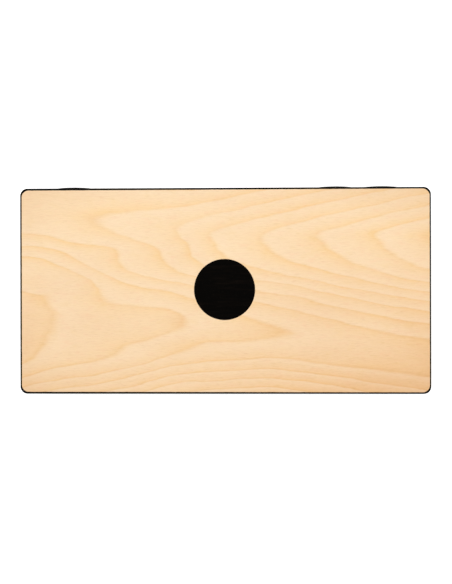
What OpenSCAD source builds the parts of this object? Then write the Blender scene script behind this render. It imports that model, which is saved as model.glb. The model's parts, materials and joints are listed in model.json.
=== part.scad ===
// Travel cajon: a shallow box drum with a glued wooden playing plate and a snare that a dial switches.
// The player looks down on the plate: X runs to the right, Y away from the player, Z up.
// The origin lies on the floor, under the middle of the object.

/* [Box] */
// Width of the box, left to right
body_w = 450; // [400:1:520]
// Depth of the box, from the rear panel's face to the front panel's face
body_d = 225.5; // [200:0.5:270]
// Height of the box, from its underside to the playing face
body_h = 112; // [100:1:150]
// Radius of the four upright corners
corner_r = 8; // [6:0.5:14]
// Thickness of the side panels
wall_t = 9; // [8:0.5:12]
// Thickness of the playing plate
plate_t = 3.5; // [2.5:0.1:5]
// Thickness of the bottom plate
bottom_t = 5; // [4:0.5:8]
// Radius that eases the outer edges of the playing plate and the bottom plate
edge_r = 1.2; // [0.6:0.1:2]

/* [Frame inside the box] */
// Side of the square corner posts
post_s = 22; // [18:1:28]
// Width taken off the inner corner of each post
post_chamfer = 6; // [2:0.5:9]
// Side of the square battens
batten_s = 12; // [10:0.5:15]

/* [Disc on the plate] */
// Diameter of the black disc
disc_d = 66.8; // [40:0.1:90]
// Thickness of the black disc
disc_t = 0.2; // [0.1:0.05:0.5]
// Distance of the disc from the plate's middle, away from the player
disc_up = 1.4; // [-20:0.1:20]

/* [Sound port] */
// Width of the port in the front panel
port_w = 150; // [100:1:180]
// Height of the port, which has round ends
port_h = 44; // [30:1:56]
// Width of the chamfer on the port's outer edge
port_chamfer = 2.5; // [1:0.5:4]

/* [Feet] */
// Diameter of a foot at the box
foot_d = 34; // [28:1:38]
// Height of a foot
foot_h = 8; // [6:0.5:12]
// How much narrower the foot's radius is at the floor
foot_taper = 2; // [0.5:0.5:4]
// Radius of the foot's lower edge
foot_edge = 1.5; // [0.5:0.1:2.5]
// Depth of the screw head above the floor
foot_sink = 2; // [1:0.1:3]

/* [Bumpers] */
// Diameter of a bumper on the front panel
bumper_d = 38; // [30:1:44]
// Height of a bumper at its middle
bumper_h = 4.5; // [3.8:0.1:8]
// Rise of the bumper's dome from its rim to its middle
bumper_dome = 1; // [0.5:0.1:2]
// Distance of each bumper's middle from the near end of the front panel
bumper_inset = 52; // [40:1:75]
// Depth of the bumpers' middle below the playing face
bumper_drop = 68; // [50:1:75]
// Depth of the screw head under the top of the dome
bumper_sink = 0.3; // [0.1:0.1:1]

/* [Screws] */
// Diameter of the pan-head screws of the feet, the bumpers and the bearing block
screw_d = 4; // [3:0.5:5]
// Diameter of their heads
head_d = 8; // [7:0.5:10]
// Height of their heads
head_h = 1.8; // [1.4:0.1:2.6]
// Diameter of the washers of the feet and bumpers
washer_d = 12; // [10:0.5:14]
// Thickness of those washers
washer_t = 0.8; // [0.5:0.1:1.2]
// Length of each foot screw inside its post
post_bite = 20; // [12:1:30]
// Diameter of the countersunk screws in the bottom plate
flat_screw_d = 3.5; // [3:0.5:4]
// Diameter of the countersunk heads
flat_head_d = 7; // [6:0.5:8]
// Number of screws along each long edge of the bottom plate
long_screws = 3; // [2:1:5]
// Distance of the end screws from the posts
screw_inset = 24; // [20:1:40]
// Wood left beyond the tip of a screw
screw_skin = 1.5; // [1:0.1:3]
// Width of the cross slots in the screw heads
slot_w = 0.9; // [0.6:0.1:1.2]
// Depth of those slots
slot_t = 1; // [0.5:0.1:1.3]

/* [Snare dial] */
// Distance of the snare rod from the right side of the box
snare_inset = 104; // [85:1:115]
// Diameter of the dial
dial_d = 36; // [32:1:40]
// How far the dial stands out of the front panel
dial_proud = 2.2; // [1:0.1:3.5]
// Rise of the dial's dome from its rim to its middle
dial_dome = 1; // [0.5:0.1:1.5]
// Depth of the dial's pocket in the front panel
pocket_t = 5; // [4:0.1:6]
// Gap round the dial in its pocket
dial_clear = 0.5; // [0.3:0.1:1]
// Width of the grip bar across the dial
grip_w = 9; // [8.5:0.5:12]
// Diameter of the finger scoops on both sides of the grip bar
scoop_d = 28; // [22:1:30]
// Depth of the finger scoops
scoop_t = 2.8; // [1.5:0.1:3.2]
// Depth of the socket for the rod in the dial's back
socket_t = 3; // [2:0.1:3.5]
// Diameter of the countersunk head of the dial screw
dial_head_d = 7; // [6.5:0.1:8]
// Length of the dial screw inside the rod
dial_bite = 9; // [6:0.5:14]
// Diameter of the pointer pin
pointer_d = 3; // [2:0.5:4]
// Depth of the pointer pin's hole
pointer_t = 1.4; // [0.8:0.1:2]
// Distance of the pointer pin from the dial's axis
pointer_r = 12; // [9:0.5:13]
// Diameter of the friction washer behind the dial
friction_d = 24; // [18:1:30]
// Thickness of the friction washer
friction_t = 0.6; // [0.4:0.1:0.8]

/* [Snare rod] */
// Diameter of the rod
rod_d = 8; // [6:0.5:9]
// Depth of the flat on the rod's end, which turns the rod with the dial
rod_flat = 1; // [0.5:0.1:1.5]
// Wall of the front bush
bush_t = 2; // [1.5:0.1:3]
// Diameter of the front bush's flange
flange_d = 16; // [14:0.5:20]
// Thickness of that flange
flange_t = 1.5; // [1:0.1:2.5]
// Diameter of the shaft collar
collar_d = 18; // [15:0.5:20]
// Width of the shaft collar
collar_w = 8; // [7:0.5:12]
// Diameter of the grub screws in the collar and the snare bar
grub_d = 4; // [3:0.5:5]
// Depth of the grub screws in the rod
grub_bite = 1.5; // [1:0.1:2]
// Gap along the rod where a turning piece runs beside a fixed one
side_play = 0.15; // [0.1:0.05:0.3]

/* [Bearing block] */
// Height of the bearing block on the rear panel
bearing_h = 20; // [18:0.5:24]
// Depth of the bearing block, from the rear panel forward
bearing_l = 18; // [15:0.5:24]
// Wood left behind the rod's blind bore
bearing_end = 4; // [3:0.5:6]
// Wood left outside the stop peg
bearing_wall = 4; // [3:0.5:8]
// Distance of the block's screws from its ends
bearing_inset = 6.5; // [6:0.5:8]
// Distance of the block's screws below the rod
bearing_low = 5; // [4:0.5:5.5]
// Gap between the block and the batten above it
batten_gap = 0.5; // [0.2:0.1:2]
// Diameter of the stop peg
peg_d = 6; // [4:0.5:8]
// Height above the rod, on the dropped bar, at which the peg stops the bar
peg_up = 10; // [8:0.5:12]
// Length of the peg beside the bar
peg_lap = 5; // [3:0.5:10]
// Depth of the peg in the block
peg_bite = 12; // [8:0.5:14]
// Gap between the peg and the dropped bar
peg_gap = 0.3; // [0.2:0.1:0.6]

/* [Snare] */
// Angle through which the dial drops the snare
snare_throw = 25; // [15:1:30]
// Thickness of the snare bar
bar_t = 14; // [12:0.5:18]
// Length of the snare bar
bar_l = 150; // [145:1:160]
// Wood under the rod's axis
bar_low = 9; // [7:0.5:12]
// Distance of the bar's grub screws from its ends
bar_inset = 15; // [10:1:25]
// Length of each wire strip
strip_l = 60; // [56:1:66]
// Width of each wire strip
strip_w = 13; // [11:0.5:16]
// Thickness of each wire strip
strip_t = 0.8; // [0.5:0.1:1.2]
// Distance from the rod's axis to the edge of the strips on the right
strip_x = 1; // [0:0.5:4]
// Gap between the two strips
strip_gap = 14; // [6:1:20]
// Diameter of the screws that hold the strips
strip_screw_d = 2.5; // [2:0.1:3]
// Diameter of their heads
strip_head_d = 4.4; // [4:0.1:5]
// Height of their heads
strip_head_h = 1.3; // [0.8:0.1:1.6]
// Length of those screws inside the bar
strip_bite = 8; // [6:0.5:10]
// Distance of those screws from the edge of the strip and from its ends
strip_inset = 3.5; // [3:0.5:4]
// Number of wires on each strip
wire_n = 10; // [6:1:10]
// Diameter of a coiled wire
wire_d = 2.2; // [1.5:0.1:2.6]
// Distance between neighbouring wires
wire_pitch = 5.6; // [4:0.1:6]
// Length of a wire
wire_l = 115; // [80:1:125]
// Length of a wire that lies on its strip
wire_lap = 6; // [4:0.5:7]
// Gap between the raised wires and the playing plate
wire_gap = 0.4; // [0.2:0.1:1]

/* [Fits] */
// Gap all round a pin, screw or shaft in its hole
fit_gap = 0.05; // [0.03:0.01:0.1]

/* [Hidden] */
$fn = 64;
cut = 1;

// Heights: underside of the box, top of the bottom plate, underside and top of the playing plate
z_under = foot_h;
z_floor = z_under + bottom_t;
z_roof = z_under + body_h - plate_t;
z_face = z_under + body_h;
panel_h = z_roof - z_floor;

// The box stands back by half of what stands out of its front panel
y_mid = -max(bumper_h, dial_proud) / 2;
y_front = y_mid + body_d / 2;
y_rear = y_mid - body_d / 2;
y_front_in = y_front - wall_t;
y_rear_in = y_rear + wall_t;
in_w = body_w - 2 * wall_t;
in_d = body_d - 2 * wall_t;

// Feet stand under the middles of the corner posts
post_x = in_w / 2 - post_s / 2;
post_y = in_d / 2 - post_s / 2;

// Long and short battens lie between the posts, against the panels
long_l = in_w - 2 * post_s;
short_l = in_d - 2 * post_s;
batten_x = in_w / 2 - batten_s / 2;
batten_y = in_d / 2 - batten_s / 2;
screw_step = (long_l - 2 * screw_inset) / (long_screws - 1);
bottom_screw_places = concat(
    [for (s = [-1, 1], i = [0:long_screws - 1]) [-long_l / 2 + screw_inset + i * screw_step, s * batten_y]],
    [for (s = [-1, 1]) [s * batten_x, 0]]);

// Rubber under the washers, and the screws that pass through it
foot_web = foot_h - foot_sink - head_h - washer_t;
foot_screw_l = washer_t + foot_web + bottom_t + post_bite;
bumper_x = body_w / 2 - bumper_inset;
bumper_web = bumper_h - bumper_sink - head_h - washer_t;
bumper_screw_l = washer_t + bumper_web + wall_t - screw_skin;
recess_d = washer_d + 3;

// The rod turns just under the top battens
snare_x = body_w / 2 - snare_inset;
rod_drop = batten_s + batten_gap + max(bearing_h, collar_d, flange_d) / 2;
rod_z = z_roof - rod_drop;
bush_d = rod_d + 2 * bush_t;
bore_d = rod_d + 2 * fit_gap;

// The dial's back runs on the friction washer at the bottom of the pocket
y_pocket = y_front - pocket_t;
y_dial = y_pocket + friction_t + side_play;
dial_h = y_front + dial_proud - y_dial;
y_rod_front = y_dial + socket_t - fit_gap;
y_rod_rear = y_rear_in + bearing_end + side_play;
y_collar = y_front_in - flange_t - side_play - collar_w;

// Snare bar, strips and wires, measured from the rod's axis
wire_z = rod_drop - wire_gap - wire_d / 2;
strip_z = wire_z - wire_d / 2 - fit_gap - strip_t;
bar_h = bar_low + strip_z;
strip_y = (strip_l + strip_gap) / 2;
wire_x = strip_x - strip_w + wire_lap;
strip_screw_x = strip_x - strip_inset;

// The stop peg lies against the side of the dropped bar
peg_reach = bar_t / 2 + peg_gap + peg_d / 2;
peg_x = peg_reach * cos(snare_throw) + peg_up * sin(snare_throw);
peg_z = peg_up * cos(snare_throw) - peg_reach * sin(snare_throw);
bearing_w = 2 * (peg_x + peg_d / 2 + bearing_wall);
bearing_screw_x = bearing_w / 2 - bearing_inset;
bearing_screw_l = bearing_l + wall_t - screw_skin;
y_bearing = y_rear_in + bearing_l;
y_peg_tip = y_mid - bar_l / 2 + peg_lap;

CORNERS = [["front_left", -1, 1], ["front_right", 1, 1], ["rear_left", -1, -1], ["rear_right", 1, -1]];
SIDES = [["left", -1], ["right", 1]];
ENDS = [["front", 1], ["rear", -1]];

BLACK_LACQUER = "#1a1715";
BLACK_RUBBER = "#1c1c1c";
BIRCH = "#f2d3a8";
BEECH = "#d9b384";
STEEL = "#b9bcc0";
BRASS = "#c9a75a";

// Places

module at_rod(y) {
    translate([snare_x, y, rod_z]) rotate([-90, 0, 0]) children();
}

module at_posts() {
    for (c = CORNERS) translate([c[1] * post_x, y_mid + c[2] * post_y, 0]) children();
}

module at_bumpers() {
    for (s = SIDES) translate([s[1] * bumper_x, y_front, z_face - bumper_drop]) rotate([-90, 0, 0]) children();
}

module at_bottom_screws() {
    for (p = bottom_screw_places) translate([p[0], y_mid + p[1], z_under]) children();
}

module at_bearing_screws() {
    for (s = SIDES) translate([snare_x + s[1] * bearing_screw_x, y_bearing, rod_z - bearing_low])
        rotate([90, 0, 0]) children();
}

module at_bar_grubs() {
    for (e = ENDS) translate([snare_x, y_mid + e[1] * (bar_l / 2 - bar_inset), rod_z])
        rotate([0, 90, 0]) children();
}

module at_strip_screws() {
    for (e = ENDS, s = [-1, 1])
        translate([
            snare_x + strip_screw_x,
            y_mid + e[1] * strip_y + s * (strip_l / 2 - strip_inset),
            rod_z + strip_z + strip_t])
            children();
}

// Fasteners: each head seats at zero height and each shank rises from there

module cross_slot(size) {
    for (a = [0, 90]) rotate(a) cube([size, slot_w, 2 * slot_t], center = true);
}

module pan_screw(d, l, d_head, h_head) {
    difference() {
        union() {
            cylinder(d = d, h = l);
            translate([0, 0, -h_head]) cylinder(d = d_head, h = h_head);
        }
        translate([0, 0, -h_head]) cross_slot(d_head * 0.6);
    }
}

module flat_screw(d, l, d_head) {
    difference() {
        union() {
            cylinder(d = d, h = l);
            cylinder(d1 = d_head, d2 = d, h = (d_head - d) / 2);
        }
        cross_slot(d_head * 0.6);
    }
}

module countersink(d, d_head) {
    translate([0, 0, -cut])
        cylinder(d1 = d_head + 2 * (fit_gap + cut), d2 = d, h = (d_head - d) / 2 + fit_gap + cut);
}

module screw_hole(d, l) {
    translate([0, 0, -cut]) cylinder(d = d + 2 * fit_gap, h = l + cut);
}

module washer(d, hole, t) {
    difference() {
        cylinder(d = d, h = t);
        translate([0, 0, -cut]) cylinder(d = hole, h = t + 2 * cut);
    }
}

// Box

module plan() {
    translate([0, y_mid]) {
        square([body_w - 2 * corner_r, body_d], center = true);
        square([body_w, body_d - 2 * corner_r], center = true);
        for (c = CORNERS) translate([c[1] * (body_w / 2 - corner_r), c[2] * (body_d / 2 - corner_r)])
            circle(corner_r);
    }
}

module edge_section(t) {
    square([corner_r, t - edge_r]);
    square([corner_r - edge_r, t]);
    translate([corner_r - edge_r, t - edge_r]) circle(edge_r);
}

module eased_sheet(t) {
    straight_w = body_w - 2 * corner_r;
    straight_d = body_d - 2 * corner_r;
    translate([0, y_mid, 0]) {
        translate([-straight_w / 2, -straight_d / 2, 0]) cube([straight_w, straight_d, t]);
        for (m = [0, 1]) {
            mirror([0, m, 0]) translate([-straight_w / 2, straight_d / 2, 0])
                rotate([90, 0, 90]) linear_extrude(straight_w) edge_section(t);
            mirror([m, 0, 0]) translate([straight_w / 2, straight_d / 2, 0])
                rotate([90, 0, 0]) linear_extrude(straight_d) edge_section(t);
            for (n = [0, 1]) mirror([m, 0, 0]) mirror([0, n, 0])
                translate([straight_w / 2, straight_d / 2, 0]) rotate_extrude(angle = 90) edge_section(t);
        }
    }
}

module playing_plate() {
    color(BIRCH) translate([0, 0, z_roof]) eased_sheet(plate_t);
}

module plate_disc() {
    color(BLACK_LACQUER) translate([0, y_mid + disc_up, z_face]) cylinder(d = disc_d, h = disc_t);
}

module bottom_plate() {
    color(BLACK_LACQUER) difference() {
        translate([0, 0, z_floor]) mirror([0, 0, 1]) eased_sheet(bottom_t);
        at_bottom_screws() {
            screw_hole(flat_screw_d, bottom_t + cut);
            countersink(flat_screw_d, flat_head_d);
        }
        at_posts() translate([0, 0, z_under]) screw_hole(screw_d, bottom_t + cut);
    }
}

module end_panel(side) {
    translate([0, 0, z_floor]) linear_extrude(panel_h) intersection() {
        plan();
        translate([0, y_mid + side * (body_d - wall_t) / 2]) square([body_w, wall_t], center = true);
    }
}

module side_panel(side) {
    color(BLACK_LACQUER) translate([0, 0, z_floor]) linear_extrude(panel_h) intersection() {
        plan();
        translate([side * (body_w - wall_t) / 2, y_mid]) square([wall_t, in_d], center = true);
    }
}

module port_outline(grow) {
    square([port_w - port_h, port_h + 2 * grow], center = true);
    for (s = SIDES) translate([s[1] * (port_w - port_h) / 2, 0]) circle(port_h / 2 + grow);
}

module port_chamfer_section() {
    polygon([[0, 0], [port_h / 2, 0], [port_h / 2 + port_chamfer, port_chamfer], [0, port_chamfer]]);
}

module port_cut() {
    straight = port_w - port_h;
    translate([0, y_front_in, (z_floor + z_roof) / 2]) rotate([-90, 0, 0]) {
        translate([0, 0, -cut]) linear_extrude(wall_t + 2 * cut) port_outline(0);
        translate([0, 0, wall_t - port_chamfer]) {
            for (s = SIDES) translate([s[1] * straight / 2, 0, 0]) rotate_extrude() port_chamfer_section();
            for (m = [0, 1]) mirror([0, m, 0]) translate([-straight / 2, 0, 0])
                rotate([90, 0, 90]) linear_extrude(straight) port_chamfer_section();
        }
    }
}

module front_panel() {
    color(BLACK_LACQUER) difference() {
        end_panel(1);
        port_cut();
        at_rod(y_pocket) cylinder(d = dial_d + 2 * dial_clear, h = pocket_t + cut);
        at_rod(y_front_in - cut) cylinder(d = bush_d + 2 * fit_gap, h = wall_t);
        at_bumpers() rotate([180, 0, 0]) screw_hole(screw_d, wall_t - screw_skin);
    }
}

module rear_panel() {
    color(BLACK_LACQUER) difference() {
        end_panel(-1);
        at_bearing_screws() screw_hole(screw_d, bearing_screw_l);
    }
}

module corner_post(side, end) {
    color(BEECH) difference() {
        translate([side * in_w / 2, y_mid + end * in_d / 2, z_floor])
            linear_extrude(panel_h) polygon([
                [0, 0],
                [-side * post_s, 0],
                [-side * post_s, -end * (post_s - post_chamfer)],
                [-side * (post_s - post_chamfer), -end * post_s],
                [0, -end * post_s]]);
        at_posts() translate([0, 0, z_floor]) screw_hole(screw_d, post_bite);
    }
}

module long_batten(end, z) {
    translate([-long_l / 2, y_mid + end * batten_y - batten_s / 2, z]) cube([long_l, batten_s, batten_s]);
}

module short_batten(side, z) {
    translate([side * batten_x - batten_s / 2, y_mid - short_l / 2, z]) cube([batten_s, short_l, batten_s]);
}

module bottom_screw_holes() {
    at_bottom_screws() screw_hole(flat_screw_d, bottom_t + batten_s - screw_skin);
}

module bottom_long_batten(end) {
    color(BEECH) difference() {
        long_batten(end, z_floor);
        bottom_screw_holes();
    }
}

module bottom_short_batten(side) {
    color(BEECH) difference() {
        short_batten(side, z_floor);
        bottom_screw_holes();
    }
}

module top_long_batten(end) {
    color(BEECH) long_batten(end, z_roof - batten_s);
}

module top_short_batten(side) {
    color(BEECH) short_batten(side, z_roof - batten_s);
}

module bottom_screws() {
    color(STEEL) at_bottom_screws() flat_screw(flat_screw_d, bottom_t + batten_s - screw_skin, flat_head_d);
}

// Feet and bumpers

module foot(side, end) {
    floor_r = foot_d / 2 - foot_taper;
    color(BLACK_RUBBER) translate([side * post_x, y_mid + end * post_y, 0]) difference() {
        rotate_extrude() {
            polygon([[0, foot_edge], [floor_r, foot_edge], [foot_d / 2, foot_h], [0, foot_h]]);
            square([floor_r - foot_edge, foot_h]);
            intersection() {
                translate([floor_r - foot_edge, foot_edge]) circle(foot_edge);
                square([floor_r, foot_h]);
            }
        }
        translate([0, 0, -cut]) cylinder(d = recess_d, h = foot_h - foot_web + cut);
        translate([0, 0, -cut]) cylinder(d = screw_d + 2 * fit_gap, h = foot_h + 2 * cut);
    }
}

module foot_washers() {
    color(STEEL) at_posts() translate([0, 0, foot_h - foot_web - washer_t])
        washer(washer_d, screw_d + 2 * fit_gap, washer_t);
}

module foot_screws() {
    color(STEEL) at_posts() translate([0, 0, foot_h - foot_web - washer_t])
        pan_screw(screw_d, foot_screw_l, head_d, head_h);
}

module dome_section(d, h, rise, hole) {
    ball_r = d * d / (8 * rise) + rise / 2;
    intersection() {
        translate([hole / 2, 0]) square([(d - hole) / 2, h]);
        translate([0, h - ball_r]) circle(ball_r, $fn = 1440);
    }
}

module bumper(side) {
    color(BLACK_RUBBER) translate([side * bumper_x, y_front, z_face - bumper_drop]) rotate([-90, 0, 0])
        difference() {
            rotate_extrude() dome_section(bumper_d, bumper_h, bumper_dome, screw_d + 2 * fit_gap);
            translate([0, 0, bumper_web]) cylinder(d = recess_d, h = bumper_h);
        }
}

module bumper_washers() {
    color(STEEL) at_bumpers() translate([0, 0, bumper_web])
        washer(washer_d, screw_d + 2 * fit_gap, washer_t);
}

module bumper_screws() {
    color(STEEL) at_bumpers() translate([0, 0, bumper_web + washer_t]) rotate([180, 0, 0])
        pan_screw(screw_d, bumper_screw_l, head_d, head_h);
}

// Bearings of the snare rod

module front_bush() {
    color(BRASS) difference() {
        union() {
            at_rod(y_front_in) cylinder(d = bush_d, h = wall_t - pocket_t);
            at_rod(y_front_in - flange_t) cylinder(d = flange_d, h = flange_t);
        }
        at_rod(y_front_in - flange_t - cut) cylinder(d = bore_d, h = wall_t + flange_t + 2 * cut);
    }
}

module friction_washer() {
    color(STEEL) at_rod(y_pocket) washer(friction_d, bush_d, friction_t);
}

module bearing_block() {
    color(BEECH) difference() {
        translate([snare_x - bearing_w / 2, y_rear_in, rod_z - bearing_h / 2])
            cube([bearing_w, bearing_l, bearing_h]);
        at_rod(y_rear_in + bearing_end) cylinder(d = bore_d, h = bearing_l);
        at_bearing_screws() screw_hole(screw_d, bearing_l + cut);
        translate([snare_x - peg_x, y_bearing - peg_bite, rod_z + peg_z]) rotate([-90, 0, 0])
            cylinder(d = peg_d + 2 * fit_gap, h = peg_bite + cut);
    }
}

module bearing_screws() {
    color(STEEL) at_bearing_screws() pan_screw(screw_d, bearing_screw_l, head_d, head_h);
}

module stop_peg() {
    color(BEECH) translate([snare_x - peg_x, y_bearing - peg_bite, rod_z + peg_z]) rotate([-90, 0, 0])
        cylinder(d = peg_d, h = y_peg_tip - y_bearing + peg_bite);
}

// Turning snare

module snare_rod() {
    color(STEEL) difference() {
        at_rod(y_rod_rear) cylinder(d = rod_d, h = y_rod_front - y_rod_rear);
        at_rod(y_dial) translate([-rod_d / 2, rod_d / 2 - rod_flat, 0]) cube([rod_d, rod_d, socket_t + cut]);
        at_rod(y_rod_front - dial_bite - cut) cylinder(d = grub_d + 2 * fit_gap, h = dial_bite + 2 * cut);
        at_bar_grubs() translate([0, 0, rod_d / 2 - grub_bite]) cylinder(d = grub_d + 2 * fit_gap, h = rod_d);
        translate([snare_x, y_collar + collar_w / 2, rod_z + rod_d / 2 - grub_bite])
            cylinder(d = grub_d + 2 * fit_gap, h = rod_d);
    }
}

module rod_socket() {
    difference() {
        translate([0, 0, -cut]) cylinder(d = bore_d, h = socket_t + cut);
        translate([-rod_d, rod_d / 2 - rod_flat + fit_gap, -2 * cut]) cube([2 * rod_d, rod_d, socket_t + 3 * cut]);
    }
}

module finger_scoops() {
    difference() {
        translate([0, 0, dial_h - dial_dome - scoop_t]) cylinder(d = scoop_d, h = dial_h);
        translate([-grip_w / 2, -dial_d / 2, 0]) cube([grip_w, dial_d, 2 * dial_h]);
    }
}

module pointer_place() {
    surface_z = dial_h - dial_dome * pow(2 * pointer_r / dial_d, 2);
    translate([0, -pointer_r, surface_z - pointer_t]) children();
}

module dial_section() {
    head_r = dial_head_d / 2 + fit_gap;
    difference() {
        dome_section(dial_d, dial_h, dial_dome, grub_d + 2 * fit_gap);
        polygon([[0, dial_h + cut], [head_r + cut, dial_h + cut], [0, dial_h - head_r]]);
    }
}

module snare_dial() {
    color(BLACK_RUBBER) at_rod(y_dial) difference() {
        rotate_extrude() dial_section();
        finger_scoops();
        rod_socket();
        pointer_place() cylinder(d = pointer_d + 2 * fit_gap, h = dial_h);
    }
}

module dial_pointer() {
    color("white") at_rod(y_dial) pointer_place() cylinder(d = pointer_d, h = pointer_t);
}

module dial_screw() {
    color(STEEL) at_rod(y_dial + dial_h) rotate([180, 0, 0])
        flat_screw(grub_d, dial_h - socket_t + dial_bite, dial_head_d);
}

module shaft_collar() {
    color(STEEL) difference() {
        at_rod(y_collar) washer(collar_d, bore_d, collar_w);
        translate([snare_x, y_collar + collar_w / 2, rod_z])
            cylinder(d = grub_d + 2 * fit_gap, h = collar_d);
    }
}

module grub_screw(tip, top) {
    difference() {
        translate([0, 0, tip]) cylinder(d = grub_d, h = top - tip);
        translate([0, 0, top - slot_t]) cylinder(d = grub_d / 2, h = 2 * slot_t, $fn = 6);
    }
}

module collar_grub_screw() {
    color(STEEL) translate([snare_x, y_collar + collar_w / 2, rod_z])
        grub_screw(rod_d / 2 - grub_bite + fit_gap, collar_d / 2 - fit_gap);
}

module snare_bar() {
    color(BEECH) difference() {
        translate([snare_x - bar_t / 2, y_mid - bar_l / 2, rod_z - bar_low]) cube([bar_t, bar_l, bar_h]);
        at_rod(y_mid - bar_l / 2 - cut) cylinder(d = bore_d, h = bar_l + 2 * cut);
        at_bar_grubs() cylinder(d = grub_d + 2 * fit_gap, h = bar_t);
        at_strip_screws() translate([0, 0, -strip_bite - strip_t])
            cylinder(d = strip_screw_d + 2 * fit_gap, h = strip_bite + strip_t + cut);
    }
}

module bar_grub_screws() {
    color(STEEL) at_bar_grubs() grub_screw(rod_d / 2 - grub_bite + fit_gap, bar_t / 2 - fit_gap);
}

module snare_strip(end) {
    color(BRASS) difference() {
        translate([snare_x + strip_x - strip_w, y_mid + end * strip_y - strip_l / 2, rod_z + strip_z])
            cube([strip_w, strip_l, strip_t]);
        at_strip_screws() translate([0, 0, -strip_t - cut])
            cylinder(d = strip_screw_d + 2 * fit_gap, h = strip_t + 2 * cut);
    }
}

module snare_wires(end) {
    color(STEEL) for (i = [0:wire_n - 1])
        translate([snare_x + wire_x, y_mid + end * strip_y + (i - (wire_n - 1) / 2) * wire_pitch, rod_z + wire_z])
            rotate([0, -90, 0]) cylinder(d = wire_d, h = wire_l);
}

module strip_screws() {
    color(STEEL) at_strip_screws() rotate([180, 0, 0])
        pan_screw(strip_screw_d, strip_t + strip_bite, strip_head_d, strip_head_h);
}

playing_plate();
plate_disc();
front_panel();
rear_panel();
for (s = SIDES) {
    side_panel(s[1]);
    top_short_batten(s[1]);
    bottom_short_batten(s[1]);
    bumper(s[1]);
}
for (e = ENDS) {
    top_long_batten(e[1]);
    bottom_long_batten(e[1]);
    snare_strip(e[1]);
    snare_wires(e[1]);
}
for (c = CORNERS) {
    corner_post(c[1], c[2]);
    foot(c[1], c[2]);
}
bottom_plate();
foot_screws();
foot_washers();
bottom_screws();
bumper_screws();
bumper_washers();
bearing_block();
bearing_screws();
stop_peg();
front_bush();
friction_washer();
snare_dial();
dial_pointer();
dial_screw();
snare_rod();
shaft_collar();
collar_grub_screw();
snare_bar();
bar_grub_screws();
strip_screws();
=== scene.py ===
# Travel cajon: finishes, coiled snare wires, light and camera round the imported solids.
# Lengths are metres in the solids' own frame; patterns are worked out in millimetres.
import json
import math

import bpy
from mathutils import Matrix, Vector


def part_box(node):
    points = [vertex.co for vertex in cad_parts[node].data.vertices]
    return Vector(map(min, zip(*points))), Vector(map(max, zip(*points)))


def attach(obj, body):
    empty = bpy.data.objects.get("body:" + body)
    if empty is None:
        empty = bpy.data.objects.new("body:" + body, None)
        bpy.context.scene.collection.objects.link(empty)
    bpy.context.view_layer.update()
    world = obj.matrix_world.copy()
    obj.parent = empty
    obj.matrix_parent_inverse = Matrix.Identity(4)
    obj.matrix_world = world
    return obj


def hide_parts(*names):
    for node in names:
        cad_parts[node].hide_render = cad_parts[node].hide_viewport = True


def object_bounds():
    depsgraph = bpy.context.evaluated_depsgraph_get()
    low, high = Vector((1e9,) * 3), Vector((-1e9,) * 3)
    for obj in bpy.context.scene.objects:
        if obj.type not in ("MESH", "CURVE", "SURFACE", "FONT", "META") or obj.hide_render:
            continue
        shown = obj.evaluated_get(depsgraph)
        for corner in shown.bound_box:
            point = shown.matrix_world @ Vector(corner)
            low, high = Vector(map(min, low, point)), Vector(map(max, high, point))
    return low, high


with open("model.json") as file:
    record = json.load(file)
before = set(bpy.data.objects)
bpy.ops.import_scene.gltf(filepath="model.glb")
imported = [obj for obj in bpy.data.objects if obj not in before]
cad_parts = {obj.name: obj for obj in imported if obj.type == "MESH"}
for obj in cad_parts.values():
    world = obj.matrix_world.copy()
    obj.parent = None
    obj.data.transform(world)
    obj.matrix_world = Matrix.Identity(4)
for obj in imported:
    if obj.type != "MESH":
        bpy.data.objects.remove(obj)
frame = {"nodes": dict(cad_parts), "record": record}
cad_low, cad_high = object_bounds()
nodes = frame["nodes"]

MM = 0.001
PER_MM = 1000.0

# Sizes read from the solids; those in capitals are in millimetres
plate_low, plate_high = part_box("playing_plate")
panel_low, panel_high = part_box("front_panel")
plate_middle = (plate_low + plate_high) / 2
PLATE_MIDDLE = [plate_middle.x * PER_MM, plate_middle.y * PER_MM, 0.0]
PLATE_HALF = (plate_high - plate_low) / 2 * PER_MM
PLATE_TOP = plate_high.z * PER_MM
WALL = (panel_high.y - panel_low.y) * PER_MM
FLOOR_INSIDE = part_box("bottom_plate")[1].z * PER_MM
# Corner radius of the plate
CORNER = 8.0

# Growth rings of the playing plate's veneer, read from the wood: at each place along the plate the rings
# climb from a trough to a crest, and fall away beyond both. Millimetres from the plate's middle, ring counts.
RING_LINES = {
    "crest": [
        (-225, 0.4), (-182, 0.6), (-142, 0.95), (-100, 1.34), (-58, 1.86), (-20, 2.86),
        (36, 3.88), (95, 4.84), (157, 5.82), (218, 6.85), (226, 6.95),
    ],
    "crest_place": [(-225, 84), (-142, 77), (-58, 66), (-20, 61), (36, 58), (95, 59), (226, 59)],
    "trough": [
        (-225, -3.75), (-194, -3.22), (-138, -2.8), (-83, -2.6), (-46, -2.26), (0, -1.83),
        (70, -1.26), (158, -0.85), (226, -0.6),
    ],
    "trough_place": [
        (-225, -20), (-182, -25), (-138, -38), (-46, -34), (0, -41), (70, -45), (158, -61), (226, -68),
    ],
    "fall_rate": [
        (-225, 0.009), (-182, 0.016), (-142, 0.033), (-94, 0.042), (-50, 0.056), (-28, 0.067),
        (37, 0.069), (81, 0.073), (226, 0.075),
    ],
    "trough_width": [
        (-225, 63), (-182, 55), (-138, 39), (-72, 30), (-39, 27), (0, 22), (37, 21),
        (81, 24), (158, 24), (226, 31),
    ],
}
# Share of the climb from trough to crest
RING_CLIMB = [
    (0, 0), (0.12, 0.07), (0.22, 0.17), (0.35, 0.33), (0.47, 0.51), (0.58, 0.7),
    (0.7, 0.855), (0.8, 0.93), (1, 1),
]
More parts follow.
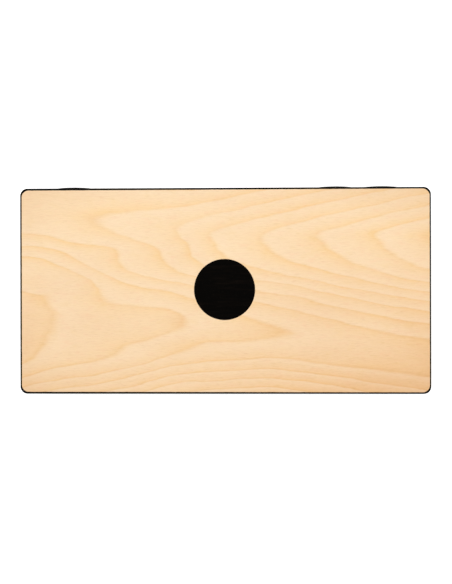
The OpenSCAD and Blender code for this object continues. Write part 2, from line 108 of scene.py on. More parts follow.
# Places where the rings bend aside: middle x and y, reach along and across, rings
RING_BENDS = [
    (-207, 37, 52, 20, -1.25),
    (-166, 10, 46, 16, -1.05),
    (-214, 8, 30, 9, 0.55),
    (-132, 45, 30, 14, -0.66),
    (-86, 45, 33, 11, -0.45),
    (-40, 51, 14, 8, -0.18),
    (-67, 17, 44, 11, 0.45),
    (-58, -24, 18, 8, -0.14),
    (-23, -57, 44, 9, 0.4),
    (-95, -60, 44, 11, 0.3),
]
# How softly the rings turn over at the crest and in the trough, in millimetres, and their rise beyond the
# trough in rings per millimetre
CREST_ROUND = 8.8
TROUGH_ROUND = 15.4
TROUGH_RATE = 0.105
# Waver of the rings: sizes of its blotches and how far it reaches, in millimetres
WAVER_SIZE = (38, 9, 9)
WAVER_REACH = (10.0, 5.0, 0.0)
# Tones from the start of a ring to its end: late wood, the line that ends it, and early wood
LATE_WOOD = [
    (0.0, 0.3), (0.05, 0.05), (0.2, 0.0), (0.5, 0.12), (0.7, 0.42), (0.85, 0.85), (0.94, 1.0), (1.0, 0.3),
]
RING_END = [(0.0, 0.5), (0.03, 0.0), (0.84, 0.0), (0.95, 1.0), (1.0, 0.5)]
EARLY_WOOD = [(0.0, 0.0), (0.05, 0.7), (0.12, 1.0), (0.4, 0.3), (0.65, 0.0)]
# From the far line to the near one, in millimetres from the middle, the bands weaken and end browner
FAR_LINE = 20.0
NEAR_LINE = -70.0
# Depth of the wood's ground: all over; painted shade, with the way, the millimetres and the power in which it
# deepens towards the near right corner, away from the light at the upper left; and in clouds
GROUND_DEPTH = 0.12
PAINTED_SHADE_WAY = (0.3, -1.0, 0.0)
PAINTED_SHADE_REACH = 167.0
PAINTED_SHADE_POWER = 3.2
CLOUD_DEPTH = 0.5
# Places where the ground is deeper, or paler where negative: middle x and y, reach along and across, share
DEEP_PLACES = [
    (-224, -38, 24, 44, 0.3),
    (-171, 0, 34, 15, 0.2),
    (-148, -38, 36, 17, 0.18),
    (-225, -106, 30, 22, 0.3),
    (-225, 96, 24, 18, 0.08),
    (60, 108, 190, 15, 0.14),
    (100, -20, 50, 16, 0.12),
    (0, 44, 28, 14, -0.12),
    (-130, 88, 95, 26, -0.16),
    (-165, 18, 60, 22, 0.1),
    (52, -44, 26, 5, 0.15),
    (-52, -33, 12, 9, 0.22),
    (-146, 78, 16, 9, 0.2),
    (208, -40, 22, 20, 0.13),
    (204, -83, 28, 10, -0.17),
]

# Painted edge of the plate, in millimetres: widths at the ends and along the sides, how far it lies to the
# right, how much narrower it gets for each millimetre to the right, corner radius and unevenness of its line
PAINT_ENDS = 1.77
PAINT_SIDES = 2.1
PAINT_RIGHT = -0.08
PAINT_TAPER = 0.00095
PAINT_CORNER = CORNER - 0.4
PAINT_UNEVEN = 0.3
# Distances over which its line fades into the wood, and depths between which it turns upright and takes on a
# painted sheen
PAINT_FADE = (0.1, 0.3)
PAINT_SHEEN_TURN = (0.6, 1.3)
# How far bare wood reaches past the faces inside the box, in millimetres
BARE_SKIN = 0.05
# Most of a noise lies between these values
NOISE_LOW = 0.3
NOISE_HIGH = 0.7


def linear(hex_colour):
    """An sRGB hex colour as linear red, green, blue and alpha."""
    parts = [int(hex_colour[i:i + 2], 16) / 255 for i in (1, 3, 5)]
    return [p / 12.92 if p <= 0.04045 else ((p + 0.055) / 1.055) ** 2.4 for p in parts] + [1.0]


def result(made):
    """The socket on which a node gives its result."""
    return next(socket for socket in made.outputs if socket.enabled)


# Of a Mix node's sockets, 0 is the share, 2 and 3 are two numbers, 6 and 7 are two colours
def put(tree, kind, links=None, stops=(), points=(), **settings):
    """Adds a node with its settings, its links or values by socket, its colour stops and its curve points."""
    made = tree.nodes.new("ShaderNode" + kind)
    for name, value in settings.items():
        setattr(made, name, value)
    for socket, value in (links or {}).items():
        if isinstance(value, bpy.types.Node):
            value = result(value)
        if isinstance(value, bpy.types.NodeSocket):
            tree.links.new(value, made.inputs[socket])
        else:
            made.inputs[socket].default_value = value
    if stops:
        elements = made.color_ramp.elements
        elements[0].position, elements[0].color = stops[0]
        elements[1].position, elements[1].color = stops[-1]
        for place, colour in stops[1:-1]:
            elements.new(place).color = colour
    if points:
        made.mapping.use_clip = False
        line = made.mapping.curves[0].points
        line[0].location = points[0]
        line[1].location = points[-1]
        for place in points[1:-1]:
            line.new(*place)
        made.mapping.update()
    return made


def start(name, sockets):
    """Begins a finish: a shader with what is the same all over set on its own sockets."""
    material = bpy.data.materials.new(name)
    material.use_nodes = True
    tree = material.node_tree
    shader = tree.nodes["Principled BSDF"]
    for socket, value in sockets.items():
        shader.inputs[socket].default_value = value
    place = put(tree, "TexCoord").outputs["Object"]
    place_mm = put(tree, "VectorMath", {0: place, 1: [PER_MM] * 3}, operation="MULTIPLY")
    return material, tree, shader, place_mm


def stretched(tree, place_mm, size_mm, detail=2.0, roughness=0.5):
    """Noise whose blotches have these sizes in millimetres along X, Y and Z."""
    scaled = put(tree, "VectorMath", {0: place_mm, 1: [1 / s for s in size_mm]}, operation="MULTIPLY")
    return put(tree, "TexNoise", {"Vector": scaled, "Scale": 1.0, "Detail": detail, "Roughness": roughness})


def streaked(tree, colour, pattern, first, last, greatest, hex_colour, blend_type="MIX"):
    """A colour that turns to another, by the greatest share where the pattern reaches its last value."""
    share = put(tree, "MapRange", {"Value": pattern, "From Min": first, "From Max": last, "To Max": greatest})
    other = linear(hex_colour)
    return put(tree, "Mix", {0: share, 6: colour, 7: other}, data_type="RGBA", blend_type=blend_type)


def grey_stops(levels):
    """Colour stops from places and levels of grey."""
    return [(place, [level] * 3 + [1.0]) for place, level in levels]


def dress(tree, shader, colour, gloss, pattern, strength, depth_mm):
    """Ends a finish: its colour, its roughness, and a pattern as relief of this strength and depth."""
    relief = put(tree, "Bump", {"Strength": strength, "Distance": depth_mm * MM, "Height": pattern})
    tree.links.new(result(colour), shader.inputs["Base Color"])
    tree.links.new(result(gloss), shader.inputs["Roughness"])
    tree.links.new(result(relief), shader.inputs["Normal"])


def outline_distance(tree, place_mm, half, radius):
    """Distance in millimetres outside a rounded rectangle round the plate's middle, negative inside it."""
    away = put(tree, "VectorMath", {0: place_mm, 1: PLATE_MIDDLE}, operation="SUBTRACT")
    folded = put(tree, "VectorMath", {0: away}, operation="ABSOLUTE")
    corner = [half[0] - radius, half[1] - radius, 0.0]
    past = put(tree, "VectorMath", {0: folded, 1: corner}, operation="SUBTRACT")
    flat = put(tree, "VectorMath", {0: past, 1: [1.0, 1.0, 0.0]}, operation="MULTIPLY")
    beyond = put(tree, "VectorMath", {0: flat, 1: [0.0] * 3}, operation="MAXIMUM")
    arc = put(tree, "VectorMath", {0: beyond}, operation="LENGTH")
    sides = put(tree, "SeparateXYZ", {0: flat})
    nearest = put(tree, "Math", {0: sides.outputs[0], 1: sides.outputs[1]}, operation="MAXIMUM")
    within = put(tree, "Math", {0: nearest, 1: 0.0}, operation="MINIMUM")
    both = put(tree, "Math", {0: arc, 1: within}, operation="ADD")
    return put(tree, "Math", {0: both, 1: radius}, operation="SUBTRACT")


def spot(tree, from_middle, x, y, reach_x, reach_y):
    """One in the middle of a soft oval place on the plate, fading to nothing round it."""
    offset = put(tree, "VectorMath", {0: from_middle, 1: [x, y, 0.0]}, operation="SUBTRACT")
    scaled = put(tree, "VectorMath", {0: offset, 1: [1 / reach_x, 1 / reach_y, 0.0]}, operation="MULTIPLY")
    square = put(tree, "VectorMath", {0: scaled, 1: scaled}, operation="DOT_PRODUCT")
    return put(tree, "Math", {0: math.exp(-1), 1: square}, operation="POWER")


def ring_count(tree, from_middle):
    """Growth rings counted over the plate, from the lines, the climb and the bends above."""
    sides = put(tree, "SeparateXYZ", {0: from_middle})
    along = sides.outputs[0]
    across = sides.outputs[1]
    line = {
        name: put(tree, "FloatCurve", {"Value": along}, points=points)
        for name, points in RING_LINES.items()
    }
    reach = put(tree, "Math", {0: line["crest_place"], 1: line["trough_place"]}, operation="SUBTRACT")
    height = put(tree, "Math", {0: across, 1: line["trough_place"]}, operation="SUBTRACT")
    share = put(tree, "Math", {0: height, 1: reach}, operation="DIVIDE", use_clamp=True)
    climbed = put(tree, "FloatCurve", {"Value": share}, points=RING_CLIMB)
    rise = put(tree, "Math", {0: line["crest"], 1: line["trough"]}, operation="SUBTRACT")
    count = put(tree, "Math", {0: rise, 1: climbed, 2: line["trough"]}, operation="MULTIPLY_ADD")
    # Beyond the crest
    over = put(tree, "Math", {0: across, 1: line["crest_place"]}, operation="SUBTRACT")
    over = put(tree, "Math", {0: over, 1: 0.0}, operation="MAXIMUM")
    square = put(tree, "Math", {0: over, 1: over, 2: CREST_ROUND ** 2}, operation="MULTIPLY_ADD")
    root = put(tree, "Math", {0: square}, operation="SQRT")
    fallen = put(tree, "Math", {0: CREST_ROUND, 1: root}, operation="SUBTRACT")
    count = put(tree, "Math", {0: fallen, 1: line["fall_rate"], 2: count}, operation="MULTIPLY_ADD")
    # Beyond the trough
    under = put(tree, "Math", {0: height, 1: line["trough_width"]}, operation="ADD")
    under = put(tree, "Math", {0: under, 1: -1.0}, operation="MULTIPLY")
    square = put(tree, "Math", {0: under, 1: under, 2: TROUGH_ROUND ** 2}, operation="MULTIPLY_ADD")
    root = put(tree, "Math", {0: square}, operation="SQRT")
    risen = put(tree, "Math", {0: under, 1: root}, operation="ADD")
    count = put(tree, "Math", {0: risen, 1: TROUGH_RATE / 2, 2: count}, operation="MULTIPLY_ADD")
    for *place, rings in RING_BENDS:
        fading = spot(tree, from_middle, *place)
        count = put(tree, "Math", {0: fading, 1: rings, 2: count}, operation="MULTIPLY_ADD")
    return count


def ring_tones(tree, from_middle, across):
    """Shares of late wood, of the line that ends a ring, and of early wood, over the plate."""
    # The rings waver by about a millimetre along the plate
    waver = stretched(tree, from_middle, WAVER_SIZE, 3.0)
    waver = put(tree, "VectorMath", {0: waver.outputs["Color"], 1: [0.5] * 3}, operation="SUBTRACT")
    waver = put(tree, "VectorMath", {0: waver, 1: WAVER_REACH}, operation="MULTIPLY")
    wavering = put(tree, "VectorMath", {0: from_middle, 1: waver}, operation="ADD")
    within_ring = put(tree, "Math", {0: ring_count(tree, wavering)}, operation="FRACT")
    late = put(tree, "ValToRGB", {0: within_ring}, stops=grey_stops(LATE_WOOD))
    end = put(tree, "ValToRGB", {0: within_ring}, stops=grey_stops(RING_END))
    early = put(tree, "ValToRGB", {0: within_ring}, stops=grey_stops(EARLY_WOOD))
    # Some stretches of a ring, about 95 mm long, are stronger than others
    stretch = stretched(tree, from_middle, (95, 26, 26), 1.0)
    uneven = {"Value": stretch, "From Min": NOISE_LOW, "From Max": NOISE_HIGH, "To Min": 0.4}
    stretch = put(tree, "MapRange", uneven)
    late = put(tree, "Math", {0: late, 1: stretch}, operation="MULTIPLY")
    # Towards the near side the bands are weaker and end in a browner line
    limits = {"Value": across, "From Min": NEAR_LINE, "From Max": FAR_LINE}
    late_share = put(tree, "MapRange", {**limits, "To Min": 0.75, "To Max": 1.0})
    late = put(tree, "Math", {0: late, 1: late_share}, operation="MULTIPLY")
    end_share = put(tree, "MapRange", {**limits, "To Min": 0.3, "To Max": 0.15})
    end = put(tree, "Math", {0: end, 1: end_share}, operation="MULTIPLY")
    return late, end, early


def ground_depth_and_painted_shade(tree, from_middle):
    """Depth of the wood's ground, in clouds and in a few places, and painted shade that grows towards the
    near right corner.
    """
    # Painted shade: the ground darkens towards the near right corner, as if light fell from the upper left
    painted_shade_slope = put(tree, "VectorMath", {0: from_middle, 1: PAINTED_SHADE_WAY}, operation="DOT_PRODUCT")
    depth_and_shade = put(tree, "MapRange", {"Value": painted_shade_slope, "From Min": -PAINTED_SHADE_REACH, "From Max": PAINTED_SHADE_REACH})
    depth_and_shade = put(tree, "Math", {0: depth_and_shade, 1: PAINTED_SHADE_POWER}, operation="POWER")
    cloud = stretched(tree, from_middle, (120, 48, 48), 2.0)
    cloud = put(tree, "Math", {0: cloud, 1: 0.5}, operation="SUBTRACT")
    depth_and_shade = put(tree, "Math", {0: cloud, 1: CLOUD_DEPTH, 2: depth_and_shade}, operation="MULTIPLY_ADD")
    depth_and_shade = put(tree, "Math", {0: depth_and_shade, 1: 0.0}, operation="MAXIMUM")
    depth_and_shade = put(tree, "Math", {0: depth_and_shade, 1: GROUND_DEPTH}, operation="ADD")
    for *place, share in DEEP_PLACES:
        fading = spot(tree, from_middle, *place)
        depth_and_shade = put(tree, "Math", {0: fading, 1: share, 2: depth_and_shade}, operation="MULTIPLY_ADD")
    return depth_and_shade


def painted_edge(tree, place_mm, along):
    """Share and colour of the plate's black painted edge, which is a lighter black where it turns upright: a
    painted sheen like that of the box's lacquer.
    """
    half = [PLATE_HALF.x - PAINT_ENDS, PLATE_HALF.y - PAINT_SIDES]
    aside = put(tree, "VectorMath", {0: place_mm, 1: [PAINT_RIGHT, 0.0, 0.0]}, operation="SUBTRACT")
    edge = outline_distance(tree, aside, half, PAINT_CORNER)
    edge = put(tree, "Math", {0: along, 1: -PAINT_TAPER, 2: edge}, operation="MULTIPLY_ADD")
    uneven = stretched(tree, place_mm, (5, 5, 5), 2.0)
    edge = put(tree, "Math", {0: uneven, 1: PAINT_UNEVEN, 2: edge}, operation="MULTIPLY_ADD")
    paint = put(tree, "MapRange", {"Value": edge, "From Min": PAINT_FADE[0], "From Max": PAINT_FADE[1]})
    height = put(tree, "SeparateXYZ", {0: place_mm}).outputs[2]
    first, last = [PLATE_TOP - depth for depth in PAINT_SHEEN_TURN]
    # Painted sheen: the black lightens where the edge turns upright
    black = streaked(tree, linear("#060403"), height, first, last, 1.0, "#1A1816")
    return paint, black


def birch_veneer():
    """Birch veneer, sanded and sealed with satin clear lacquer; its eased edge is painted black.
    It gives a pale cream ground, ring lines that darken slowly and end sharply, and fine fibres."""
    material, tree, shader, place_mm = start(
        "birch_veneer_sanded_satin_lacquer", {"IOR": 1.5, "Specular IOR Level": 0.1})
    from_middle = put(tree, "VectorMath", {0: place_mm, 1: PLATE_MIDDLE}, operation="SUBTRACT")
    along, across, _ = put(tree, "SeparateXYZ", {0: from_middle}).outputs
    depth_and_shade = ground_depth_and_painted_shade(tree, from_middle)
    # The ground's colour carries the painted shade towards the near right corner
    wood = put(tree, "Mix", {0: depth_and_shade, 6: linear("#FFE2BB"), 7: linear("#F2C899")}, data_type="RGBA")
    # Early wood is paler, late wood yellower, and a thin brown line ends each ring
    late, end, early = ring_tones(tree, from_middle, across)
    wood = streaked(tree, wood, early, 0.0, 1.0, 0.25, "#FFE6C8")
    wood = streaked(tree, wood, late, 0.0, 1.0, 1.0, "#FFF7E4", "MULTIPLY")
    wood = streaked(tree, wood, end, 0.0, 1.0, 1.0, "#F2E6CE", "MULTIPLY")
    # Flecks of pinker and of yellower wood, 13 mm long
    fleck = stretched(tree, from_middle, (13, 6, 6), 3.0, 0.6)
    wood = streaked(tree, wood, fleck, 0.5, 0.75, 0.6, "#FEF5F2", "MULTIPLY")
    wood = streaked(tree, wood, fleck, 0.5, 0.25, 0.6, "#FCF9EC", "MULTIPLY")
    # Fibres are 0.3 mm wide in the wood; 1.2 mm is the finest that shows from a step away
    fibre = stretched(tree, from_middle, (16, 1.2, 1.2), 3.0, 0.6)
    wood = streaked(tree, wood, fibre, 0.45, 0.8, 0.4, "#F7F1E9", "MULTIPLY")
    # Pores, drawn 0.9 mm wide and 5 mm long
    pore = stretched(tree, from_middle, (5, 0.9, 0.9), 1.0)
    wood = streaked(tree, wood, pore, 0.62, 0.8, 0.4, "#F0E8DE", "MULTIPLY")
    # Between them run finer fibres, 0.45 mm wide, which show only from near
    fine = stretched(tree, from_middle, (7, 0.45, 0.45), 2.0)
    wood = streaked(tree, wood, fine, 0.5, 0.8, 0.6, "#EEE8DE", "MULTIPLY")
    # Painted shade: the plate is a little darker towards its corners, where the light falls off
    corner_shade_scale = [1 / PLATE_HALF.x, 1 / PLATE_HALF.y, 0.0]
    outward = put(tree, "VectorMath", {0: from_middle, 1: corner_shade_scale}, operation="MULTIPLY")
    outward = put(tree, "VectorMath", {0: outward, 1: outward}, operation="DOT_PRODUCT")
    wood = streaked(tree, wood, outward, 1.0, 1.9, 0.9, "#F7F2ED", "MULTIPLY")
    paint, black = painted_edge(tree, place_mm, along)
    colour = put(tree, "Mix", {0: paint, 6: wood, 7: black}, data_type="RGBA")
    satin = put(tree, "MapRange", {"Value": fibre, "To Min": 0.4, "To Max": 0.56})
    gloss = put(tree, "Mix", {0: paint, 2: satin, 3: 0.8})
    dress(tree, shader, colour, gloss, fibre, strength=0.12, depth_mm=0.1)
    return material


def black_ink():
    """Matt screen ink laid over the lacquered veneer: a near-black film, thinner on the fibres.
    They just show through it, as fine brown streaks with a duller sheen."""
    material, tree, shader, place_mm = start(
        "screen_ink_printed_matt_black", {"IOR": 1.45, "Specular IOR Level": 0.025})
    fibre = stretched(tree, place_mm, (24, 1.3, 1.3), 3.0, 0.6)
    colour = streaked(tree, linear("#030201"), fibre, 0.5, 0.8, 1.0, "#130D09")
    gloss = put(tree, "MapRange", {"Value": fibre, "To Min": 0.5, "To Max": 0.72})
    dress(tree, shader, colour, gloss, fibre, strength=0.3, depth_mm=0.1)
    return material


def lacquered_plywood(name, fibre_mm):
    """Birch plywood sprayed with satin black lacquer outside and left bare inside the box.
    The lacquer sinks a little into the fibres, so they show as fine ridges in its sheen."""
    material, tree, shader, place_mm = start(name, {"IOR": 1.5, "Specular IOR Level": 0.16})
    inside = outline_distance(tree, place_mm, [PLATE_HALF.x - WALL, PLATE_HALF.y - WALL], 0.0)
    beside = put(tree, "Math", {0: inside, 1: BARE_SKIN}, operation="LESS_THAN")
    height = put(tree, "SeparateXYZ", {0: place_mm}).outputs[2]
    over = put(tree, "Math", {0: height, 1: FLOOR_INSIDE - BARE_SKIN}, operation="GREATER_THAN")
    bare = put(tree, "Math", {0: beside, 1: over}, operation="MULTIPLY")
    fibre = stretched(tree, place_mm, fibre_mm, 3.0, 0.6)
    broad = stretched(tree, place_mm, [8 * size for size in fibre_mm], 2.0)
    lacquer = put(tree, "Mix", {0: broad, 6: linear("#070605"), 7: linear("#0F0D0C")}, data_type="RGBA")
    lacquer = streaked(tree, lacquer, fibre, 0.42, 0.75, 1.0, "#1B1917")
    wood = put(tree, "Mix", {0: broad, 6: linear("#E9CDA0"), 7: linear("#DDB985")}, data_type="RGBA")
    wood = streaked(tree, wood, fibre, 0.45, 0.75, 0.4, "#C79C66")
    colour = put(tree, "Mix", {0: bare, 6: lacquer, 7: wood}, data_type="RGBA")
    satin = put(tree, "MapRange", {"Value": broad, "To Min": 0.3, "To Max": 0.46})
    gloss = put(tree, "Mix", {0: bare, 2: satin, 3: 0.78})
    dress(tree, shader, colour, gloss, fibre, strength=0.45, depth_mm=0.2)
    return material


def planed_beech(name, fibre_mm):
    """Beech, planed and unfinished: warm pink-brown with short dark rays along the fibre."""
    material, tree, shader, place_mm = start(name, {"IOR": 1.5, "Specular IOR Level": 0.3})
    broad = stretched(tree, place_mm, [6 * size for size in fibre_mm], 2.0)
    ray = stretched(tree, place_mm, [0.35 * size for size in fibre_mm], 1.0)
    fibre = stretched(tree, place_mm, fibre_mm, 3.0, 0.6)
    wood = put(tree, "Mix", {0: broad, 6: linear("#DDB88D"), 7: linear("#C9A074")}, data_type="RGBA")
    wood = streaked(tree, wood, fibre, 0.45, 0.8, 0.45, "#B98C5E")
    wood = streaked(tree, wood, ray, 0.66, 0.74, 0.6, "#8F633C")
    gloss = put(tree, "MapRange", {"Value": fibre, "To Min": 0.6, "To Max": 0.8})
    dress(tree, shader, wood, gloss, fibre, strength=0.3, depth_mm=0.15)
    return material


def moulding(name, dark, light, grain_mm, roughness, sockets):
    """A moulded part with the fine grain of its mould, and soft blotches of wear in its sheen."""
    material, tree, shader, place_mm = start(name, sockets)
    grain = stretched(tree, place_mm, [grain_mm] * 3, 2.0)
    blotch = stretched(tree, place_mm, [9.0] * 3, 3.0)
    colour = put(tree, "Mix", {0: blotch, 6: linear(dark), 7: linear(light)}, data_type="RGBA")
    smooth, rough = roughness
    wear = {"Value": blotch, "From Min": NOISE_LOW, "From Max": NOISE_HIGH}
    gloss = put(tree, "MapRange", {**wear, "To Min": smooth, "To Max": rough})
    dress(tree, shader, colour, gloss, grain, strength=0.3, depth_mm=0.1)
    return material


def worked_metal(name, bright, dull, marks_mm, roughness):
    """A metal with the marks that drawing, rolling, turning or plating leaves in its shine."""
    material, tree, shader, place_mm = start(name, {"Metallic": 1.0})
    marks = stretched(tree, place_mm, marks_mm, 3.0, 0.6)
    bloom = stretched(tree, place_mm, [5.0] * 3, 3.0)
    colour = put(tree, "Mix", {0: bloom, 6: linear(bright), 7: linear(dull)}, data_type="RGBA")
    smooth, rough = roughness
    work = {"Value": marks, "From Min": NOISE_LOW, "From Max": NOISE_HIGH}
    gloss = put(tree, "MapRange", {**work, "To Min": smooth, "To Max": rough})
    dress(tree, shader, colour, gloss, marks, strength=0.15, depth_mm=0.05)
    return material


# Fibre sizes in millimetres: 40 mm along the wood, drawn 1.2 mm wide
ALONG_X = (40, 1.2, 1.2)
ALONG_Y = (1.2, 40, 1.2)
ALONG_Z = (1.2, 1.2, 40)

lacquer_long = lacquered_plywood("birch_ply_sprayed_black_fibre_x", ALONG_X)
lacquer_short = lacquered_plywood("birch_ply_sprayed_black_fibre_y", ALONG_Y)
beech_x = planed_beech("beech_planed_fibre_x", ALONG_X)
beech_y = planed_beech("beech_planed_fibre_y", ALONG_Y)
beech_z = planed_beech("beech_planed_fibre_z", ALONG_Z)

# One finish for each slot of the record, and other fibre directions by node
SLOT_FINISH = {
    "plate_veneer": birch_veneer(),
    "disc_print": black_ink(),
    "black_lacquer": lacquer_long,
    "frame_wood": beech_x,
    "rubber": moulding(
        "rubber_moulded_black", "#060606", "#0F0E0D", 0.7, (0.62, 0.8),
        {"IOR": 1.52, "Specular IOR Level": 0.08}),
    "dial_plastic": moulding(
        "abs_moulded_spark_texture", "#0A0A0B", "#111112", 0.6, (0.42, 0.55),
        {"IOR": 1.54, "Specular IOR Level": 0.15}),
    "pointer_plastic": moulding(
        "abs_moulded_white", "#E9E7E0", "#F1EFE9", 0.6, (0.25, 0.35), {"IOR": 1.54}),
    "screw_steel": worked_metal("steel_zinc_plated", "#B9BDBF", "#9BA0A3", (0.8, 0.8, 0.8), (0.28, 0.45)),
    "rod_steel": worked_metal("steel_drawn_bright", "#C6C8C8", "#B4B6B6", (0.5, 30, 0.5), (0.2, 0.36)),
    "brass": worked_metal("brass_rolled", "#D8B566", "#C39C4E", (12, 0.6, 0.6), (0.24, 0.4)),
}
NODE_FINISH = {
    "left_panel": lacquer_short,
    "right_panel": lacquer_short,
    "snare_bar": beech_y,
    "stop_peg": beech_y,
}
for name in nodes:
    if name.startswith("corner_post"):
        NODE_FINISH[name] = beech_z
    if name.startswith(("top_batten", "bottom_batten")) and name.endswith(("left", "right")):
        NODE_FINISH[name] = beech_y
for subpart in frame["record"]["subparts"]:
    node = nodes[subpart["node"]]
    for place in node.material_slots:
        place.material = NODE_FINISH.get(node.name, SLOT_FINISH[subpart["material_slot"]])

# Coiled snare wires: a helix of 0.5 mm wire in each rod's space, ten to a strip
WIRE_COUNT = 10
COIL_WIRE = 0.5 * MM
COIL_PITCH = 1.6 * MM
COIL_STEPS = 8
COIL_SIDES = 4


def snare_coils(node_name, piece_name):
    """One mesh of the ten coils that lie in this node's box."""
    low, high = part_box(node_name)
    radius = (high.z - low.z) / 2
    middle_z = (high.z + low.z) / 2
    winding = radius - COIL_WIRE / 2
    spacing = (high.y - low.y - 2 * radius) / (WIRE_COUNT - 1)
    length = high.x - low.x - COIL_WIRE
    steps = round(length / COIL_PITCH * COIL_STEPS)
    points = []
    faces = []
    for wire in range(WIRE_COUNT):
        middle_y = low.y + radius + wire * spacing
        first = len(points)
        for step in range(steps + 1):
            turn = 2 * math.pi * step / COIL_STEPS
            outward = Vector((0, math.cos(turn), math.sin(turn)))
            centre = Vector((high.x - COIL_WIRE / 2 - length * step / steps, middle_y, middle_z))
            centre += outward * winding
            for side in range(COIL_SIDES):
                angle = 2 * math.pi * side / COIL_SIDES
                spoke = outward * math.cos(angle) + Vector((math.sin(angle), 0, 0))
                points.append(centre + spoke * COIL_WIRE / 2)
        for step in range(steps):
            for side in range(COIL_SIDES):
                here = first + step * COIL_SIDES + side
                beside = first + step * COIL_SIDES + (side + 1) % COIL_SIDES
                faces.append((here, beside, beside + COIL_SIDES, here + COIL_SIDES))
        last = first + steps * COIL_SIDES
        faces.append([first + side for side in reversed(range(COIL_SIDES))])
        faces.append([last + side for side in range(COIL_SIDES)])
    mesh = bpy.data.meshes.new(piece_name)
    mesh.from_pydata(points, [], faces)
    mesh.shade_smooth()
    mesh.materials.append(SLOT_FINISH["rod_steel"])
    piece = bpy.data.objects.new(piece_name, mesh)
    bpy.context.scene.collection.objects.link(piece)
    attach(piece, "snare")
    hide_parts(node_name)


for end in ("front", "rear"):
    snare_coils("snare_wires_" + end, "snare_coils_" + end)

# Studio: a white paper floor that sweeps up all round, just under the feet
SWEEP_FLAT = 3.2
SWEEP_CURVE = 1.2
SWEEP_WALL = 0.8
SWEEP_SIDES = 96
FLAT_RINGS = 4
CURVE_RINGS = 12
FLOOR_GAP = 0.3 * MM
# What the paper adds to its own light where it is seen, so that it shows white
PAPER_GLOW = 0.68


def matt_paper():
    """Uncoated white paper: an even white without gloss, on which the box keeps its soft shadow.
    Its back is clear, so that it hides nothing from outside or from below."""
    material = bpy.data.materials.new("paper_matt_white")
    material.use_nodes = True
    tree = material.node_tree
    tree.nodes.clear()
    rays = put(tree, "LightPath")
    seen = rays.outputs["Is Camera Ray"]
    for kind in ("Is Glossy Ray", "Is Transmission Ray"):
        seen = put(tree, "Math", {0: seen, 1: rays.outputs[kind]}, operation="ADD", use_clamp=True)
    glow = put(tree, "Math", {0: seen, 1: PAPER_GLOW}, operation="MULTIPLY")
    paper = put(tree, "BsdfDiffuse", {"Color": linear("#EDEDEB")})
    shine = put(tree, "Emission", {"Strength": glow})
    front = put(tree, "AddShader", {0: paper, 1: shine})
    behind = put(tree, "NewGeometry").outputs["Backfacing"]
    clear = put(tree, "BsdfTransparent")
    surface = put(tree, "MixShader", {0: behind, 1: front, 2: clear})
    put(tree, "OutputMaterial", {"Surface": surface})
    return material


def paper_sweep():
    """A round floor with a curved rise and a low wall."""
    profile = [(SWEEP_FLAT * (ring + 1) / FLAT_RINGS, 0.0) for ring in range(FLAT_RINGS)]
    for ring in range(CURVE_RINGS):
        turn = math.pi / 2 * (ring + 1) / CURVE_RINGS
        profile.append((SWEEP_FLAT + SWEEP_CURVE * math.sin(turn), SWEEP_CURVE * (1 - math.cos(turn))))
    profile.append((SWEEP_FLAT + SWEEP_CURVE, SWEEP_CURVE + SWEEP_WALL))
    points = [(0.0, 0.0, -FLOOR_GAP)]
    faces = []
    for radius, height in profile:
        for side in range(SWEEP_SIDES):
            turn = 2 * math.pi * side / SWEEP_SIDES
            points.append((radius * math.cos(turn), radius * math.sin(turn), height - FLOOR_GAP))
    for side in range(SWEEP_SIDES):
        beside = (side + 1) % SWEEP_SIDES
        faces.append((0, 1 + side, 1 + beside))
        for ring in range(len(profile) - 1):
            inner = 1 + ring * SWEEP_SIDES
            outer = inner + SWEEP_SIDES
            faces.append((inner + side, outer + side, outer + beside, inner + beside))
    mesh = bpy.data.meshes.new("paper_sweep")
    mesh.from_pydata(points, [], faces)
    mesh.shade_smooth()
    mesh.materials.append(matt_paper())
    sweep = bpy.data.objects.new("paper_sweep", mesh)
    bpy.context.scene.collection.objects.link(sweep)


paper_sweep()

# Light: an even pale room, a large soft lamp from the upper left, and two weaker ones
ROOM_LIGHT = 0.45
LAMP_AIM = Vector((0.0, 0.0, cad_high.z))
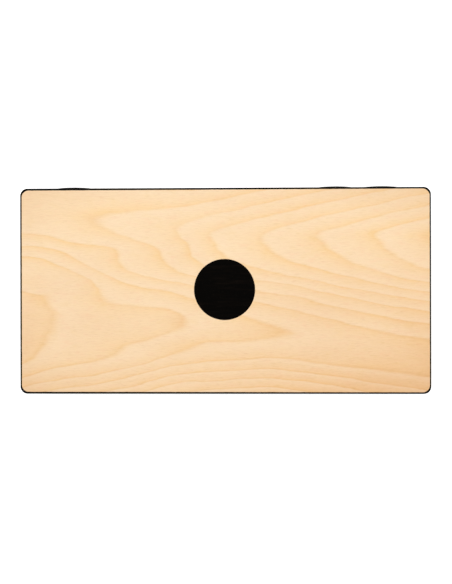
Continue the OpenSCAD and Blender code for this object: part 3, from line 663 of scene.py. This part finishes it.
# Name, place and size in metres, power in watts
LAMPS = [
    ("key_lamp", (-0.35, 0.5, 2.4), 1.5, 25.5),
    ("side_lamp", (1.9, -1.3, 1.5), 1.0, 14.0),
    ("back_lamp", (0.6, 2.2, 1.2), 1.0, 10.0),
]
scene = bpy.context.scene
scene.view_settings.view_transform = "Standard"
world = bpy.data.worlds.new("studio")
world.use_nodes = True
room = world.node_tree.nodes["Background"]
room.inputs["Color"].default_value = linear("#FFFFFF")
room.inputs["Strength"].default_value = ROOM_LIGHT
scene.world = world
for name, place, size, power in LAMPS:
    lamp = bpy.data.lights.new(name, "AREA")
    lamp.size = size
    lamp.energy = power
    holder = bpy.data.objects.new(name, lamp)
    holder.location = place
    holder.rotation_euler = (LAMP_AIM - Vector(place)).to_track_quat("-Z", "Y").to_euler()
    holder.visible_camera = False
    scene.collection.objects.link(holder)

# Camera: straight above, a little to the right of the middle, with the plate's far side at the top
CAMERA_HEIGHT = 2.0
CAMERA_RIGHT = 0.096
CAMERA_ROLL = math.radians(0.12)
# Sensor in millimetres, picture height in pixels and the size of a pixel on the plate
SENSOR = 36.0
PICTURE_HIGH = 584
PIXEL = 1.0935 * MM
# Where the picture's middle lies from the plate's middle, in pixels to the right and to the far side
PICTURE_MIDDLE = Vector((1.4, -1.2, 0.0))
face = Vector((plate_middle.x, plate_middle.y, plate_high.z))
aim = face + PICTURE_MIDDLE * PIXEL
eye = face + Vector((CAMERA_RIGHT, 0.0, CAMERA_HEIGHT))
ahead = (aim - eye).normalized()
right = ahead.cross(Vector((math.sin(CAMERA_ROLL), math.cos(CAMERA_ROLL), 0.0))).normalized()
up = right.cross(ahead)
camera_data = bpy.data.cameras.new("camera")
camera_data.sensor_width = SENSOR
camera_data.lens = SENSOR * (aim - eye).length / (PICTURE_HIGH * PIXEL)
camera = bpy.data.objects.new("camera", camera_data)
camera.matrix_world = Matrix((
    (right.x, up.x, -ahead.x, eye.x),
    (right.y, up.y, -ahead.y, eye.y),
    (right.z, up.z, -ahead.z, eye.z),
    (0.0, 0.0, 0.0, 1.0),
))
scene.collection.objects.link(camera)
scene.camera = camera
